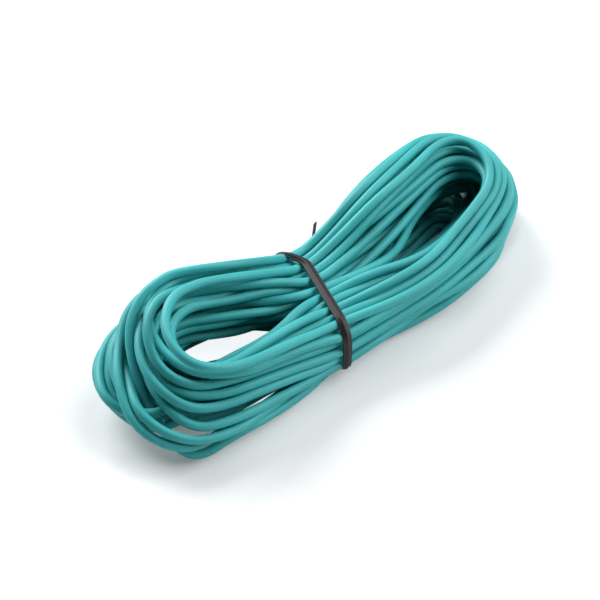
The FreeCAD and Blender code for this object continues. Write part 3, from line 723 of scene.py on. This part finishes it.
tie_section = ([(-1.0, 0.0)] + rib_side + [(0.0, tie_thick)]
               + [(-across, high) for across, high in rib_side[:0:-1]])
tie_section = np.array(tie_section) - (0.0, 0.5 * tie_thick)
centre = np.array([s[0] for s in stations])
wide = np.array([s[1] for s in stations])
thick = np.array([s[2] for s in stations])
tie_run = np.r_[0.0, np.cumsum(np.linalg.norm(np.diff(centre, axis=0), axis=1))]


def ribbon(name, outline, turn):
    """The outline carried along the tie's stations."""
    rings = (centre[:, None] + wide[:, None] * outline[None, :, :1]
             + thick[:, None] * outline[None, :, 1:])
    return swept(name, rings, tie_run, turn)


girth = np.r_[0.0, np.cumsum(np.linalg.norm(np.diff(tie_section, axis=0), axis=1))]
tie = ribbon("twist_tie", tie_section, girth)
bpy.ops.object.select_all(action="DESELECT")
tie.select_set(True)
bpy.context.view_layer.objects.active = tie
bpy.ops.object.mode_set(mode="EDIT")
bpy.ops.mesh.select_all(action="SELECT")
bpy.ops.mesh.normals_make_consistent(inside=False)
bpy.ops.object.mode_set(mode="OBJECT")

# Polyethylene coating, moulded round the steel: black with a grey bloom, and matt.
coating, tree, shader = new_material("Black polyethylene coating, matt")
uv = add(tree, "ShaderNodeUVMap", uv_map="wound")
grain = add(tree, "ShaderNodeTexNoise", [("Vector", uv.outputs["UV"])], Scale=1.4, Detail=4.0)
black = add(tree, "ShaderNodeValToRGB", [("Fac", grain.outputs["Fac"])])
black.color_ramp.elements[0].position = 0.3
black.color_ramp.elements[0].color = linear("#171214")
black.color_ramp.elements[1].position = 0.75
black.color_ramp.elements[1].color = linear("#2c2427")
tree.links.new(black.outputs["Color"], shader.inputs["Base Color"])
relief = add(tree, "ShaderNodeBump", [("Height", grain.outputs["Fac"])],
             Strength=0.3, Distance=0.00006)
tree.links.new(relief.outputs["Normal"], shader.inputs["Normal"])
shader.inputs["Roughness"].default_value = 0.5
tie.data.materials.append(coating)

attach(tie, "root")
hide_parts("tie_coating")


# ------------------------------------------------------- the tie's steel core
# One soft steel wire, 0.45 mm, runs in the rib from tip to tip and gives the tie its set.
# It shows as a bright dot at the cut tips.

core_od, core_sides = 0.45, 8
turn = 2.0 * math.pi * np.arange(core_sides) / core_sides
round_core = 0.5 * core_od * np.c_[np.cos(turn), np.sin(turn)]
steel_core = ribbon("tie_steel_core", round_core, turn * 0.5 * core_od)

# Annealed steel, drawn to size: grey metal with fine lines along it.
steel, tree, shader = new_material("Soft steel wire, drawn")
uv = add(tree, "ShaderNodeUVMap", uv_map="wound")
drawn = add(tree, "ShaderNodeMapping", [("Vector", uv.outputs["UV"])], Scale=(1.0, 0.05, 1.0))
lines = add(tree, "ShaderNodeTexNoise", [("Vector", drawn.outputs["Vector"])], Scale=14.0)
grey = add(tree, "ShaderNodeValToRGB", [("Fac", lines.outputs["Fac"])])
grey.color_ramp.elements[0].color = linear("#6d7073")
grey.color_ramp.elements[1].color = linear("#b4b7ba")
tree.links.new(grey.outputs["Color"], shader.inputs["Base Color"])
shader.inputs["Metallic"].default_value = 1.0
shader.inputs["Roughness"].default_value = 0.4
steel_core.data.materials.append(steel)

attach(steel_core, "root")
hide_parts("tie_core_wire")


# ------------------------------------------------------- the floor and light
# A white sweep of paper under three soft boxes, a strong one behind and two at the right.
# They burn the paper out to white, and the hank's soft shadow stays in front of it.

bpy.ops.object.select_all(action="DESELECT")
bpy.ops.mesh.primitive_plane_add(size=3.0, location=(0.0, 0.0, -0.00002))
floor = bpy.context.object
floor.name = "paper_floor"
# Coated white paper, matt: the shadow lies on it with soft edges and no shine.
paper, tree, shader = new_material("White paper")
tree.nodes.remove(shader)
white = add(tree, "ShaderNodeBsdfDiffuse", Color=linear("#e6e7e8"))
# burnt-out whites: a glow that only the camera sees, light painted onto the paper. Each ring of it
# has its middle, where its change starts and ends, and its share inside and outside that.
# They are for the near opening, made white with painted light, the far one, made dark with painted
# shade where the glow is taken away, and the open floor
painted_glow_rings = [((-0.022, 0.005, 0.0), 0.014, 0.018, 1.0, 0.18),
              ((0.047, 0.008, 0.0), 0.018, 0.022, 0.0, 1.0),
              ((0.0, 0.0, 0.0), 0.15, 0.6, 1.0, 5.5)]
ground = add(tree, "ShaderNodeTexCoord")
glow = add(tree, "ShaderNodeLightPath").outputs["Is Camera Ray"]
for middle, near, far, inside, outside in painted_glow_rings:
    off = add(tree, "ShaderNodeVectorMath", [(0, ground.outputs["Object"])],
              operation="DISTANCE")
    off.inputs[1].default_value = middle
    level = add(tree, "ShaderNodeMapRange", [("Value", off.outputs["Value"])],
                interpolation_type="SMOOTHSTEP")
    level.inputs["From Min"].default_value = near
    level.inputs["From Max"].default_value = far
    level.inputs["To Min"].default_value = inside
    level.inputs["To Max"].default_value = outside
    glow = add(tree, "ShaderNodeMath", [(0, glow), (1, level.outputs["Result"])],
               operation="MULTIPLY").outputs["Value"]
lit = add(tree, "ShaderNodeEmission", [("Strength", glow)], Color=linear("#eff3f5"))
both = add(tree, "ShaderNodeAddShader", [(0, white.outputs["BSDF"]), (1, lit.outputs["Emission"])])
tree.links.new(both.outputs["Shader"], tree.nodes["Material Output"].inputs["Surface"])
floor.data.materials.append(paper)

world = bpy.data.worlds.new("Plain studio")
world.use_nodes = True
scene.world = world
tree = world.node_tree
sky = tree.nodes["Background"]
rays = add(tree, "ShaderNodeLightPath")
seen = add(tree, "ShaderNodeMath", [(0, rays.outputs["Is Camera Ray"]),
                                    (1, rays.outputs["Is Transmission Ray"])],
           operation="MAXIMUM")
level = add(tree, "ShaderNodeMapRange", [("Value", seen.outputs["Value"])])
level.inputs["To Min"].default_value = 0.05
level.inputs["To Max"].default_value = 1.0
tree.links.new(level.outputs["Result"], sky.inputs["Strength"])
sky.inputs["Color"].default_value = (1.0, 1.0, 1.0, 1.0)


box_width, box_distance = 0.6, 0.85


def soft_light(name, bearing, rise, watts):
    """A square soft box that stands round the hank and faces it."""
    bearing, rise = math.radians(bearing), math.radians(rise)
    place = box_distance * Vector((math.cos(bearing) * math.cos(rise),
                                   math.sin(bearing) * math.cos(rise), math.sin(rise)))
    bpy.ops.object.light_add(type="AREA", location=place,
                             rotation=place.to_track_quat("Z", "Y").to_euler())
    lamp = bpy.context.object
    lamp.name = name
    lamp.data.size = box_width
    lamp.data.energy = watts


soft_light("soft_box_back", 90.0, 38.0, 10.4)
soft_light("soft_box_right", 315.0, 38.0, 5.2)
soft_light("soft_box_high", 0.0, 58.0, 2.8)
